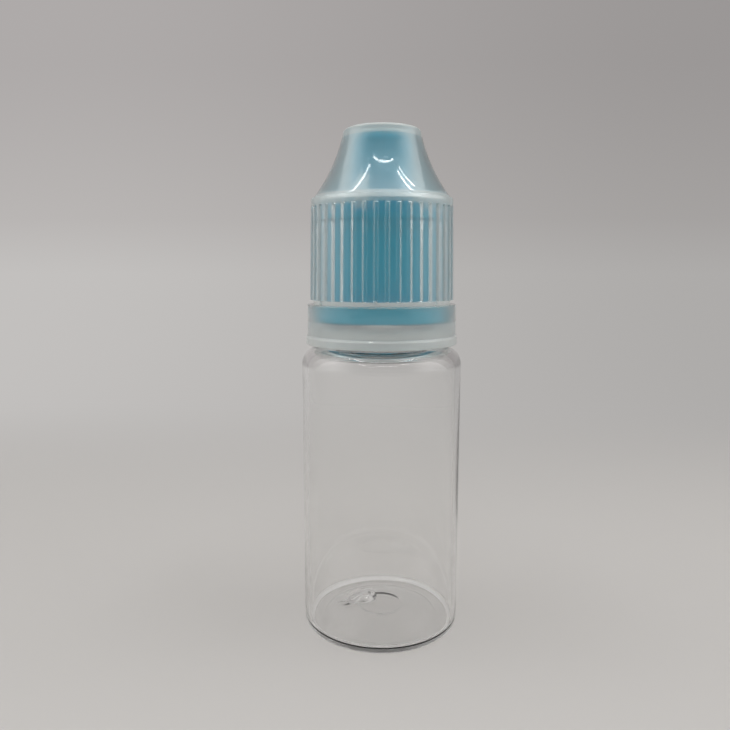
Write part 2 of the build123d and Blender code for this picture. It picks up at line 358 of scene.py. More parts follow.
class NodeGroup(Nodes):
    """A shader node group with named sockets and a vector input."""

    def __init__(self, name: str, inputs: Mapping[str, float], outputs: Sequence[str]) -> None:
        """Makes the group and its sockets.

        Args:
            name: Name of the group.
            inputs: Named numbers that the group takes, with what they start at.
            outputs: Named numbers that the group gives.
        """
        super().__init__(bpy.data.node_groups.new(name, "ShaderNodeTree"))
        sockets = self.tree.interface
        sockets.new_socket("Vector", in_out="INPUT", socket_type="NodeSocketVector")
        for label, value in inputs.items():
            made = sockets.new_socket(label, in_out="INPUT", socket_type="NodeSocketFloat")
            made.default_value = value
        for label in outputs:
            sockets.new_socket(label, in_out="OUTPUT", socket_type="NodeSocketFloat")
        self.entry = self.node("NodeGroupInput")

    def taken(self, label: str) -> Socket:
        """Gives a named input of the group as a source."""
        return self.entry.outputs[label]

    def give(self, **results: Socket) -> bpy.types.NodeTree:
        """Joins the named outputs and gives the finished tree."""
        self.node("NodeGroupOutput", results)
        return self.tree


def blank_material(name: str) -> tuple[Material, Nodes, Node]:
    """Makes a material and gives it with its nodes and its plain shader."""
    made = bpy.data.materials.new(name)
    made.use_nodes = True
    return made, Nodes(made.node_tree), made.node_tree.nodes["Principled BSDF"]


@cache
def mould_grain() -> bpy.types.NodeTree:
    """Builds the fine skin of moulded plastic: soft waves, a fine grain and an uneven gloss.

    Returns:
        The node group with outputs Height and Mottle, each about 0 to 1.
    """
    inputs = {"Wave Scale": 250.0, "Grain Scale": 6000.0, "Grain Share": 0.3}
    group = NodeGroup("mould_grain", inputs, ("Height", "Mottle"))
    place, scale = group.taken("Vector"), group.taken("Wave Scale")
    wave = group.noise(place, Scale=scale, Detail=2.0)
    grain = group.noise(place, Scale=group.taken("Grain Scale"), Detail=3.0)
    mottle = group.noise(place, Scale=group.math("MULTIPLY", scale, 2.3), Detail=4.0)
    return group.give(Height=group.mix("FLOAT", group.taken("Grain Share"), wave, grain), Mottle=mottle)


@cache
def handling_marks() -> bpy.types.NodeTree:
    """Builds the marks of handling: a few short hairline scuffs in patches.

    Returns:
        The node group with the output Scuffs, 0 to 1.
    """
    group = NodeGroup("handling_marks", {"Scale": 160.0, "Amount": 0.3}, ("Scuffs",))
    place = group.taken("Vector")
    inputs = {"Vector": place, "Rotation": (0.5, 0.3, 0.9), "Scale": (1.0, 7.0, 1.0)}
    stretched = group.node("ShaderNodeMapping", inputs).outputs["Vector"]
    lines = group.noise(stretched, Scale=group.taken("Scale"), Detail=1.0)
    off = group.math("ABSOLUTE", group.math("SUBTRACT", lines, 0.5))
    thin = group.ranged(off, (0.0, 0.006), (1.0, 0.0))
    patch = group.ranged(group.noise(place, Scale=120.0), (0.58, 0.66), UNIT)
    scuffs = group.math("MULTIPLY", thin, patch)
    return group.give(Scuffs=group.math("MULTIPLY", scuffs, group.taken("Amount")))


@dataclass(frozen=True)
class Plastic:
    """A moulded plastic."""

    name: str
    colour: Colour
    second: Colour  # Linear colour that it drifts to in soft patches
    through: float = 0.0  # Share of the light that passes through, 0 to 1
    bend: float = 1.49  # Index of refraction
    gloss: float = 0.2  # Roughness at its smoothest
    dull: float = 0.3  # Roughness in the dull patches
    depth: float = 0.006  # Depth of the moulded skin in mm
    wave: float = 300.0  # Scale of the soft waves
    fine: float = 0.3  # Share of fine grain in the skin
    marks: float = 0.1
    pass_light: float = 0.0  # Share of the lamps' light that goes on to what lies behind, 0 for none
    coat: float = 0.0  # Strength of the glossy moulded face over a milky inside
    shine: float = 0.5  # Specular level of the plastic under that face, 0.5 for plain plastic

    def material(self) -> Material:
        """Builds the material.

        Returns:
            The finished material.
        """
        made, tree, shader = blank_material(self.name)
        place = tree.node("ShaderNodeTexCoord").outputs["Object"]
        inputs = {"Vector": place, "Wave Scale": self.wave, "Grain Share": self.fine}
        skin = tree.node("ShaderNodeGroup", inputs, node_tree=mould_grain()).outputs
        inputs = {"Vector": place, "Amount": self.marks}
        scuffs = tree.node("ShaderNodeGroup", inputs, node_tree=handling_marks()).outputs["Scuffs"]
        rough = tree.ranged(skin["Mottle"], MOTTLE, (self.gloss, self.dull))
        inputs = {"Height": skin["Height"], "Strength": 1.0, "Distance": self.depth * MM}
        bump = tree.node("ShaderNodeBump", inputs)
        inputs = {
            "Base Color": tree.mix("RGBA", skin["Mottle"], (*self.colour, 1), (*self.second, 1)),
            "Roughness": tree.math("MULTIPLY_ADD", scuffs, SCUFF_DULLING, rough, use_clamp=True),
            "Normal": bump.outputs["Normal"],
            "IOR": self.bend,
            "Transmission Weight": self.through,
            "Coat Weight": self.coat,
            "Coat Roughness": COAT_ROUGHNESS,
            "Coat IOR": COAT_BEND,
            "Specular IOR Level": self.shine,
        }
        tree.fill(shader, inputs)
        if self.pass_light > 0:
            self._open_to_light(tree, shader)
        return made

    def _open_to_light(self, tree: Nodes, shader: Node) -> None:
        """Lets lamp light and soft light reach what lies behind the plastic.

        Args:
            tree: Nodes of the material.
            shader: The shader that the eye sees.
        """
        path = tree.node("ShaderNodeLightPath").outputs
        either = tree.math("MAXIMUM", path["Is Shadow Ray"], path["Is Diffuse Ray"])
        inputs = {"Color": (self.pass_light,) * 3 + (1,)}
        clear = tree.node("ShaderNodeBsdfTransparent", inputs)
        tree.show(either, shader.outputs["BSDF"], clear.outputs["BSDF"])


CLEAR_PET = Plastic(
    "clear_pet_wall", colour=(0.975, 0.975, 0.972), second=(0.965, 0.967, 0.965), through=1.0, bend=1.57,
    gloss=0.0, dull=0.012, depth=0.004, wave=180.0, fine=0.0, marks=0.25, pass_light=0.96,
)
WORN_FOOT = replace(
    CLEAR_PET, name="worn_foot_plastic", through=0.8, gloss=0.3, dull=0.42, depth=0.008, marks=0.5
)
NATURAL_SHELL = Plastic(
    "natural_shell_plastic", colour=(0.83, 0.925, 0.94), second=(0.80, 0.905, 0.925), through=0.99,
    gloss=0.285, dull=0.315, depth=0.002, wave=350.0, fine=0.25, marks=0.05, pass_light=0.92, coat=1.0,
    shine=0.03,
)
# Painted shade: the bell takes a darker copy of the shell's colour, which dims the dome.
BELL_PAINTED_SHADE = replace(
    NATURAL_SHELL, name="bell_plastic_painted_shade", colour=(0.62, 0.805, 0.845), second=(0.60, 0.785, 0.825),
    through=0.985,
)
SATIN_GROOVE = replace(
    NATURAL_SHELL, name="satin_groove_plastic", colour=(0.80, 0.88, 0.89), second=(0.76, 0.85, 0.86),
    through=0.965, gloss=0.38, dull=0.48, coat=0.1, shine=0.05,
)
MILKY_LEDGE = replace(
    NATURAL_SHELL, name="milky_ledge_plastic", colour=(0.80, 0.88, 0.88), second=(0.75, 0.84, 0.84),
    through=0.72, gloss=0.35, dull=0.45, coat=0.6, shine=0.05, pass_light=0.85,
)
NATURAL_RING = replace(
    NATURAL_SHELL, name="natural_ring_plastic", colour=(0.88, 0.935, 0.93), second=(0.85, 0.915, 0.915),
    through=0.98, gloss=0.29, dull=0.36, shine=0.05,
)
HAZY_RING = replace(NATURAL_RING, name="hazy_ring_plastic", through=0.72, gloss=0.35, dull=0.45, coat=0.6)
MILKY_EDGE = Plastic(
    "milky_edge_plastic", colour=(0.86, 0.895, 0.88), second=(0.80, 0.84, 0.825), through=0.45, gloss=0.4,
    dull=0.5, depth=0.004, wave=500.0, pass_light=0.8, coat=0.6, shine=0.1,
)
NATURAL_INSERT = Plastic(
    "natural_insert_plastic", colour=(0.83, 0.85, 0.85), second=(0.78, 0.81, 0.81), through=0.35,
    bend=1.5, gloss=0.35, dull=0.45,
)
BLUE_CAP = Plastic(
    "blue_cap_plastic", colour=(0.005, 0.45, 0.63), second=(0.004, 0.41, 0.585), gloss=0.3, dull=0.4,
    marks=0.15, shine=0.12,
)


def placed(mesh: Mesh, body: Body, material: Material) -> bpy.types.Object:
    """Puts a mesh in the scene as a piece of the object.

    Args:
        mesh: The mesh, in place, with the name of the piece.
        body: Body that the piece moves with.
        material: Finish of the piece.

    Returns:
        The new piece.
    """
    piece = bpy.data.objects.new(mesh.name, mesh)
    bpy.context.scene.collection.objects.link(piece)
    mesh.materials.append(material)
    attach(piece, body.value)
    return piece


def dress_faces(mesh: Mesh, finishes: Iterable[Plastic], choose: Choice) -> None:
    """Gives parts of a piece their own finishes.

    Args:
        mesh: Mesh with its plain finish as material 0.
        finishes: Finishes from material 1 on.
        choose: Gives the material of a face from the distance from the axis and the height of its
            middle in mm, and its angle in radians.
    """
    for finish in finishes:
        mesh.materials.append(finish.material())
    for face in mesh.polygons:
        x, y, z = face.center / MM
        face.material_index = int(choose(math.hypot(x, y), z, math.atan2(y, x)))


def dress_solid(node: str, material: Material) -> None:
    """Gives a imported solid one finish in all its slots."""
    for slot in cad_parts[node].material_slots:
        slot.material = material


@dataclass(frozen=True)
class ScrewThread:
    """The screw thread that joins the neck and the inner cap."""

    pitch: float = 2.6  # Rise of one turn in mm
    start: float = 46.6  # Height at which the thread starts, at angle 0
    turns: float = 2.0
    crest: float = 0.5
    flank: float = 0.45
    fade: float = 0.12  # Length of the run-in and run-out, in turns

    def height(self, angles: np.ndarray, z: float) -> np.ndarray:
        """Gives how far the thread stands out at each angle of a row.

        Args:
            angles: Angles of the row in radians.
            z: Height of the row in mm.

        Returns:
            The share of the full thread height, 0 to 1.
        """
        best = np.zeros_like(angles)
        for turn in range(int(self.turns) + 1):
            along = angles / (2 * math.pi) + turn
            off = np.abs(z - self.start - along * self.pitch)
            shape = np.clip((self.crest / 2 + self.flank - off) / self.flank, 0, 1)
            shape = shape * shape * (3 - 2 * shape)
            ends = np.clip(np.minimum(along, self.turns - along) / self.fade, 0, 1)
            best = np.maximum(best, shape * ends)
        return best


@dataclass
class BottleBody:
    """The blow-moulded bottle: pushed-up base, straight side, rounded shoulder and threaded neck."""

    radius: float = 10.994
    height: float = 39.8
    wall: float = 0.8
    shoulder: float = 3.2
    inner_shoulder: float = 2.4
    heel: float = 2.0
    foot: float = 0.8  # Width of the slope from the foot up to the floor
    push_up: float = 1.2
    push_up_radius: float = 3.0
    neck: float = 5.85
    neck_foot: float = 6.35
    bore: float = 4.6
    lip: float = 53.8
    bead_radius: float = 8.494
    bead_bottom: float = 42.05
    bead_top: float = 43.1
    bead_rim: float = 0.3
    thread_depth: float = 0.6
    nub: Point = (-2.6, 1.8)  # Middle of the gate lump on the floor
    nub_radius: float = 2.0
    nub_height: float = 1.0
    plain_end: float = 3.0  # Height at each end of the body whose wall doesn't vary
    waves: Point = (0.03, 0.02)  # Heights of the two soft waves in the wall
    floor_reach: float = 6.5  # Radius of the part of the floor that carries the lump
    worn_low: float = 0.5  # Gap from the worn finish of the heel up to the end of the rounding
    worn_width: float = 1.25
    worn_slack: float = 0.15  # How far it reaches inward of the chord of the rounding
    columns: int = 288
    thread: ScrewThread = ScrewThread()

    def outline(self) -> tuple[list[Point], int]:
        """Draws half the section of the bottle, from the base to the lip and back inside.

        Returns:
            The points, and the number of the first point of the inside.
        """
        foot_out = self.radius - self.heel
        foot_in = foot_out - self.foot
        outside = [
            Corner(0, self.push_up),
            Corner(self.push_up_radius, self.push_up, 1.5),
            Corner(foot_in, 0.0, 0.8),
            Corner(foot_out - 0.1, 0.0),
            Corner(self.radius, 0.0, self.heel),
            Corner(self.radius, self.height, self.shoulder),
            Corner(self.neck_foot, self.height, 0.5),
            Corner(self.neck_foot, self.bead_bottom, 0.12),
            Corner(self.bead_radius, self.bead_bottom, 0.15),
            Corner(self.bead_radius, self.bead_bottom + 0.38, 0.3),
            Corner(self.neck, self.bead_top, 0.4),
            Corner(self.neck, self.lip, 0.3),
            Corner(self.bore, self.lip),
        ]
        radius, ceiling = self.radius - self.wall, self.height - self.wall
        inside = [
            Corner(self.bore, self.lip),
            Corner(self.bore, ceiling + 0.9, 1.4),
            Corner(self.bore + 1.7, ceiling, 1.2),
            Corner(radius, ceiling, self.inner_shoulder),
            Corner(radius, self.wall, self.heel - self.wall),
            Corner(foot_out, self.wall, 0.5),
            Corner(foot_in, self.wall, 0.8),
            Corner(self.push_up_radius, self.push_up + self.wall, 1.5),
            Corner(0, self.push_up + self.wall),
        ]
        first, second = (self._graded(rounded(side, step=7.0)) for side in (outside, inside))
        return first + second[1:], len(first)

    def _on_neck(self, r: float) -> bool:
        """Tells whether a point lies on the straight side of the neck."""
        return abs(r - self.neck) < 0.02

    def _graded(self, points: Sequence[Point]) -> list[Point]:
        """Adds points where the surface carries the thread, the lump or the soft waves."""
        out = [points[0]]
        for a, b in zip(points, points[1:]):
            threaded = self._on_neck(a[0]) and self._on_neck(b[0])
            low, high = min(a[1], b[1]), max(a[1], b[1])
            near = max(a[0], b[0]) < self.floor_reach
            floor = near and high < self.plain_end and low > self.push_up + 0.1
            longest = 0.12 if threaded else 0.14 if floor else 1.6
            out += divided([a, b], longest)[1:]
        return out

    def lump(self, angles: np.ndarray, r: float) -> np.ndarray:
        """Gives the height of the gate lump over the floor along a row."""
        x, y = r * np.cos(angles) - self.nub[0], r * np.sin(angles) - self.nub[1]
        share = 1 - (x * x + y * y) / self.nub_radius**2
        return self.nub_height * np.sqrt(np.clip(share, 0, 1))

    def finish(self, r: float, z: float, angle: float) -> int:
        """Picks material 1 for the rim of the bead, 2 for the heel and 0 for the rest."""
        if z > self.bead_bottom and r > self.bead_radius - self.bead_rim:
            return 1
        low = z < self.heel - self.worn_low and r > self.radius - self.worn_width
        return 2 if low and r - z > self.radius - self.heel - self.worn_slack else 0

    def build(self) -> None:
        """Builds the bottle in place of its plain node."""
        points, inner = self.outline()
        end = self.plain_end

        def shift(i: int, angles: np.ndarray, r: float, z: float) -> np.ndarray:
            """Stands the thread out of the neck and lets the wall vary a little."""
            if i < inner and self._on_neck(r) and z > self.bead_top:
                return self.thread_depth * self.thread.height(angles, z)
            if i >= inner and end < z < self.height - end:
                slow, quick = self.waves
                wave = slow * np.sin(2 * angles + z / 9) + quick * np.sin(3 * angles - z / 6 + 1)
                return wave * min(1.0, (z - end) / 4, (self.height - end - z) / 4)
            return np.zeros_like(angles)

        def lift(i: int, angles: np.ndarray, r: float, z: float) -> np.ndarray:
            """Raises the lump of the gate on the floor."""
            if i >= inner and z < end and r < self.floor_reach:
                return self.lump(angles, r)
            return np.zeros_like(angles)

        mesh = turned_mesh("bottle_wall", points, even_angles(self.columns), shift=shift, lift=lift)
        piece = placed(mesh, Body.BOTTLE, CLEAR_PET.material())
        dress_faces(mesh, (MILKY_EDGE, WORN_FOOT), self.finish)
        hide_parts("bottle")


@dataclass
class OuterCap:
    """The translucent outer shell: ribbed drafted wall, ledge, bell, retaining bead and drive lugs."""

    bottom: float = 46.2
    top: float = 68.6
    bore: float = 8.744  # Radius inside the wall at the rim
    root: float = 9.344  # Radius of the bottom of the grooves at the rim
    crest: float = 9.794  # Radius of the ribs at the rim
    draft: float = 1.0
    groove_top: float = 58.4
    groove_half: float = 0.21
    side_reach: float = 0.03  # How far its steep side starts past the half width
    side_width: float = 0.05
    side_share: float = 0.68  # Share of the depth that the steep side takes
    rib_edge: float = 0.14
    edge_reach: float = 0.02  # How far the rounded edge starts past the side
    edge_share: float = 0.32  # Share of the depth that the rounded edge takes
    ribs: int = 42
    measure: float = 9.6  # Radius at which widths round the wall are measured
    ledge: float = 59.6
    ledge_width: float = 0.25
    top_radius: float = 5.206
    top_bore: float = 4.206
    ceiling: float = 67.85
    inner_corner: float = 59.1  # Height of the corner between wall and bell inside
    bow: float = 0.5
    bead_low: float = 55.6
    bead_high: float = 56.5
    bead_radius: float = 8.42
    lugs: int = 5
    lug_first: float = -112.0
    lug_bottom: float = 58.6  # Height of the foot of the solid's lugs
    lug_drop: float = 0.75  # How far the lugs hang below the solid's
    lug_head: float = 3.4  # Near edge over the foot of the solid's lugs
    lug_back: float = 2.3
    lug_near: float = 5.85  # Near side from the axis
    lug_far: float = 7.45  # Far side from the axis
    lug_half: float = 0.65
    lip_bottom: float = 45.42
    lip_top: float = 46.21
    lip_bore: float = 9.15
    lip_radius: float = 9.35
    top_edge: float = 0.55
    ledge_haze: float = 0.35  # How far the milky finish of the ledge goes up the bell
    corner_haze: float = 0.5
    satin_half: float = 0.36  # Half the width of the satin finish of a groove

    @property
    def pitch(self) -> float:
        """Angle from one groove to the next, in radians."""
        return 2 * math.pi / self.ribs

    @property
    def first_groove(self) -> float:
        """Angle of the first groove, half a pitch from the front, in radians."""
        return FRONT - math.pi / self.ribs

    def drafted(self, radius: float, z: float) -> float:
        """Radius of the drafted wall at a height, from its radius at the rim."""
        return radius - (z - self.bottom) * math.tan(math.radians(self.draft))

    def angles(self) -> np.ndarray:
        """Gives the columns: close together at the sides of each groove, wide on each rib."""
        arc = [0.0, 0.12, 0.185, 0.21, 0.235, 0.285, 0.345, 0.42, 0.58]
        steps = [-a for a in arc[:0:-1]] + arc + [math.pi / self.ribs * self.measure]
        starts = [self.first_groove + self.pitch * k for k in range(self.ribs)]
        return np.array([start + step / self.measure for start in starts for step in steps])

    def off_groove(self, angles: Union[float, np.ndarray]) -> Union[float, np.ndarray]:
        """Gives how far from the middle of the nearest groove an angle lies, in mm."""
        half = self.pitch / 2
        return abs((angles - self.first_groove + half) % self.pitch - half) * self.measure

    def groove(self, angles: np.ndarray) -> np.ndarray:
        """Gives the depth of the grooves at each angle, 0 to 1."""
        off = self.off_groove(angles)
        side = np.clip((self.groove_half + self.side_reach - off) / self.side_width, 0, 1)
        edge = self.groove_half + self.rib_edge + self.edge_reach - off
        return side * self.side_share + self.edge_share * np.clip(edge / self.rib_edge, 0, 1)

    def outline(self) -> tuple[list[Point], list[float]]:
        """Draws half the section, up the outside, over the top and down the hollow.

        Returns:
            The points, and for each the share of the groove depth that it takes.
        """
        points: list[Point] = []
        share: list[float] = []

        def add(new: Iterable[Point], amount: float = 0.0) -> None:
            """Adds points that take a share of the groove."""
            for point in new:
                points.append(point)
                share.append(amount)

        rim = self.bottom
        add([(self.bore + 0.06, rim), (self.root, rim)])
        add([(self.crest - 0.1, rim), (self.crest - 0.03, rim + 0.03), (self.crest, rim + 0.12)], 1.0)
        for z in np.linspace(rim + 1.0, self.groove_top - 0.12, 9):
            add([(self.drafted(self.crest, float(z)), float(z))], 1.0)
        for rise, amount in ((-0.03, 0.9), (0.02, 0.25), (0.1, 0.0)):
            z = self.groove_top + rise
            add([(self.drafted(self.crest, z), z)], amount)
        edge = self.drafted(self.crest, self.ledge)
        foot, head = (edge - self.ledge_width, self.ledge), (self.top_radius, self.top - 0.5)
        bell = bowed(foot, head, self.bow, 26)
        step = [Corner(edge, self.groove_top + 0.3), Corner(edge, self.ledge, 0.16)]
        add(rounded([*step, Corner(*bell[0], 0.1), Corner(*bell[2])])[:-1])
        add(bell[1:-1])
        crown = [Corner(self.top_radius - 0.12, self.top, 0.45), Corner(0, self.top)]
        add(rounded([Corner(*bell[-2]), *crown])[1:])
        corner = (self.drafted(self.bore, self.inner_corner), self.inner_corner)
        under = bowed(corner, (self.top_bore, self.ceiling), self.bow, 22)
        add([(0, self.ceiling)])
        add(rounded([Corner(0, self.ceiling), Corner(*under[-1], 0.3), Corner(*under[-3])])[1:-1])
        add(under[-3:0:-1])
        above, below = self.bead_high + 0.1, self.bead_low - 0.5
        hollow = [
            Corner(*under[1]),
            Corner(*under[0], 0.4),
            Corner(self.drafted(self.bore, above), above, 0.3),
            Corner(self.bead_radius, self.bead_high - 0.1, 0.6),
            Corner(self.drafted(self.bore, below), below, 1.2),
            Corner(self.bore, rim + 0.05),
        ]
        add(rounded(hollow)[1:])
        return points, share

    def finish(self, r: float, z: float, angle: float) -> ShellPart:
        """Picks the finish of a face of the shell."""
        haze_top = self.ledge + self.ledge_haze
        inside = r < self.drafted(self.bore, z) + 0.1
        if z > self.top - self.top_edge:
            return ShellPart.TOP
        if self.groove_top + 0.1 < z < haze_top or z > self.ceiling - self.corner_haze:
            return ShellPart.LEDGE
        if inside and self.groove_top - self.corner_haze < z < self.ledge:
            return ShellPart.LEDGE
        if z >= haze_top:
            return ShellPart.BELL
        outside = r > self.drafted(self.root, z) - 0.05
        if outside and z > self.bottom + 0.1 and self.off_groove(angle) < self.satin_half:
            return ShellPart.GROOVE
        return ShellPart.WALL

    def build(self) -> None:
        """Builds the outer cap in place of its plain node, with its lugs and its lip."""
        points, share = self.outline()

        def shift(i: int, angles: np.ndarray, r: float, z: float) -> np.ndarray:
            """Cuts the grooves."""
            if share[i] == 0:
                return np.zeros_like(angles)
            deep = r - self.drafted(self.root, z)
            return -max(deep, 0.0) * share[i] * self.groove(angles)

        mesh = turned_mesh("outer_shell", points, self.angles(), closed=True, shift=shift)
        piece = placed(mesh, Body.OUTER_CAP, NATURAL_SHELL.material())
        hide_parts("outer_cap")
        dress_faces(mesh, (BELL_PAINTED_SHADE, MILKY_LEDGE, SATIN_GROOVE, MILKY_EDGE), self.finish)
        placed(self.lug_mesh(), Body.OUTER_CAP, MILKY_LEDGE.material())
        placed(self.lip_mesh(), Body.OUTER_CAP, MILKY_EDGE.material())

    def lip_mesh(self) -> Mesh:
        """Builds the thin milky lip under the rim, which slides inside the tamper ring."""
        outline = [
            Corner(self.lip_bore, self.lip_bottom, 0.05),
            Corner(self.lip_radius, self.lip_bottom, 0.05),
            Corner(self.lip_radius, self.lip_top),
            Corner(self.lip_bore, self.lip_top),
        ]
        middle = (self.lip_bottom + self.lip_top) / 2

        def lift(i: int, angles: np.ndarray, r: float, z: float) -> np.ndarray:
            """Leaves the lower edge a little uneven, as where it was torn from the mould."""
            if z > middle:
                return np.zeros_like(angles)
            waves = 0.03 * np.sin(23 * angles) + 0.03 * np.sin(61 * angles + 1)
            return waves + 0.02 * np.sin(97 * angles + 2)

        points = rounded(outline, closed=True)
        return turned_mesh("rim_lip", points, even_angles(420), closed=True, lift=lift)

    def lug_mesh(self) -> Mesh:
        """Builds the lugs that drive the ratchet, hanging from the inside of the bell."""
        shape = bmesh.new()
        foot = self.lug_bottom - self.lug_drop
        head, back = self.lug_bottom + self.lug_head, foot + self.lug_back
        near, far, half = self.lug_near, self.lug_far, self.lug_half
        base = [(near, -half), (far, -half), (far, half), (near, half)]
        corners = [(x, y, foot) for x, y in base]
        corners += [(x, y, head if x == near else back) for x, y in base]
        for turn in around(self.lug_first, self.lugs):
            made = [shape.verts.new(turn @ (Vector(corner) * MM)) for corner in corners]
            for loop in BOX_FACES:
                shape.faces.new([made[n] for n in loop])
        return bevelled(shape, "drive_lugs", 0.12)


@dataclass
class TamperRing:
    """The tamper ring below the tear line, with its inner bead and the bridges to the shell."""

    bottom: float = 40.2
    top: float = 45.65
    bore: float = 9.424
    radius: float = 10.174
    lip_radius: float = 10.394
    lip_top: float = 41.2
    bead_top: float = 41.8
    bead_radius: float = 8.094
    haze_top: float = 43.35  # Height at which the hazy finish of the lower band ends
    bridges: int = 7
    bridge_first: float = -94.2857
    bridge_middle: Point = (9.56, 45.95)  # From the axis, and height
    bridge_size: tuple[float, float, float] = (0.27, 0.26, 1.2)  # Depth, width and height of a bridge
    columns: int = 240

    def finish(self, r: float, z: float, angle: float) -> int:
        """Picks material 1 for the milky lip, 2 for the hazy band over it and 0 for the rest."""
        if z < self.bottom + 0.1:
            return 1
        if r > self.bore + 0.1 and z < self.haze_top:
            return 1 if z < self.lip_top + 0.2 else 2
        return 0

    def build(self) -> None:
        """Builds the ring in place of its plain node, with its bridges."""
        outline = [
            Corner(self.bore - 0.1, self.bottom, 0.1),
            Corner(self.lip_radius, self.bottom, 0.2),
            Corner(self.lip_radius, self.lip_top, 0.2),
            Corner(self.radius, self.lip_top + 0.3, 0.25),
            Corner(self.radius, self.haze_top),
            Corner(self.radius, self.top, 0.15),
            Corner(self.bore, self.top, 0.08),
            Corner(self.bore, self.bead_top, 0.15),
            Corner(self.bead_radius, self.bead_top, 0.12),
            Corner(self.bead_radius, self.bead_top - 0.6, 0.2),
        ]
        points = rounded(outline, closed=True)
        mesh = turned_mesh("ring_band", points, even_angles(self.columns), closed=True)
        material = NATURAL_RING.material()
        piece = placed(mesh, Body.RING, material)
        dress_faces(mesh, (MILKY_EDGE, HAZY_RING), self.finish)
        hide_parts("tamper_ring")
        placed(self.bridge_mesh(), Body.RING, material)

    def bridge_mesh(self) -> Mesh:
        """Builds the thin bridges that hold the ring to the shell until it is first opened."""
        shape = bmesh.new()
        out, up = self.bridge_middle
        sides = [side * MM for side in self.bridge_size]
        box = Matrix.Translation(Vector((out, 0, up)) * MM) @ Matrix.Diagonal((*sides, 1))
        for turn in around(self.bridge_first, self.bridges):
            made = bmesh.ops.create_cube(shape, size=1.0)["verts"]
            bmesh.ops.transform(shape, matrix=turn @ box, verts=made)
        return bevelled(shape, "tear_bridges", 0.06)


@dataclass
class InnerCap:
    """The blue inner cap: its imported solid, the screw thread in its bore and a collar."""

    bore: float = 6.65
    thread_depth: float = 0.55
    thread: ScrewThread = ScrewThread(start=ScrewThread.start - ScrewThread.pitch / 2, turns=2.6)
    ridge: tuple[Point, ...] = (  # Outward in shares of the height (into the wall in mm), upward in mm
        (0.1, -0.75), (-0.12, -0.66), (-1.0, -0.26), (-1.0, 0.26), (-0.12, 0.66), (0.1, 0.75)
    )
    collar: tuple[Corner, ...] = (  # Under the crown, behind the bead of the shell
        Corner(7.4, 55.2), Corner(7.61, 55.2), Corner(7.98, 56.62), Corner(7.4, 56.62)
    )

    def build(self) -> None:
        """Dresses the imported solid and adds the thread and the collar."""
        material = BLUE_CAP.material()
        dress_solid("inner_cap", material)
        placed(self.thread_mesh(), Body.INNER_CAP, material)
        outline = rounded(self.collar, closed=True)
        mesh = turned_mesh("crown_collar", outline, even_angles(160), closed=True)
        placed(mesh, Body.INNER_CAP, material)

    def thread_mesh(self) -> Mesh:
        """Sweeps the ridge of the thread along its helix inside the bore."""
        thread = self.thread
        steps = int(thread.turns * 72)
        verts, faces = [], []
        for i in range(steps + 1):
            along = thread.turns * i / steps
            grown = min(1.0, along / thread.fade, (thread.turns - along) / thread.fade)
            grown = max(grown, 0.02)
            angle = 2 * math.pi * along
            for out, up in self.ridge:
                r = self.bore + (out * self.thread_depth * grown if out < 0 else out)
                z = thread.start + along * thread.pitch + up * 0.9 * (0.4 + 0.6 * grown)
                verts.append((r * math.cos(angle) * MM, r * math.sin(angle) * MM, z * MM))
        n = len(self.ridge)
        for i in range(steps):
            for j in range(n):
                k = (j + 1) % n
                faces.append((i * n + j, i * n + k, (i + 1) * n + k, (i + 1) * n + j))
        faces += [tuple(range(n - 1, -1, -1)), tuple(steps * n + j for j in range(n))]
        mesh = bpy.data.meshes.new("cap_thread")
        mesh.from_pydata(verts, [], faces)
        shape = bmesh.new()
        shape.from_mesh(mesh)
        bmesh.ops.recalc_face_normals(shape, faces=shape.faces)
        return shaped(shape, mesh)


class DripInsert:
    """The drip insert in the neck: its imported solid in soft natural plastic."""

    def build(self) -> None:
        """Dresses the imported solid."""
        dress_solid("dropper_insert", NATURAL_INSERT.material())


@dataclass(frozen=True)
class LampBar:
    """A straight lamp that shines down."""

    name: str
    start: Point  # One end, in metres from the axis
    end: Point  # The other end
    width: float  # Width in metres
    glow: float  # Radiance, where 1 is white

    def hang(self, height: float) -> None:
        """Hangs the lamp at a height in metres."""
        (x0, y0), (x1, y1) = self.start, self.end
        length = math.dist(self.start, self.end)
        data = bpy.data.lights.new(self.name, "AREA")
        data.shape = "RECTANGLE"
        data.size = length
        data.size_y = self.width
        data.energy = self.glow * math.pi * length * self.width
        lamp = bpy.data.objects.new(self.name, data)
        lamp.location = ((x0 + x1) / 2, (y0 + y1) / 2, height)
        lamp.rotation_euler = (0, 0, math.atan2(y1 - y0, x1 - x0))
        bpy.context.scene.collection.objects.link(lamp)


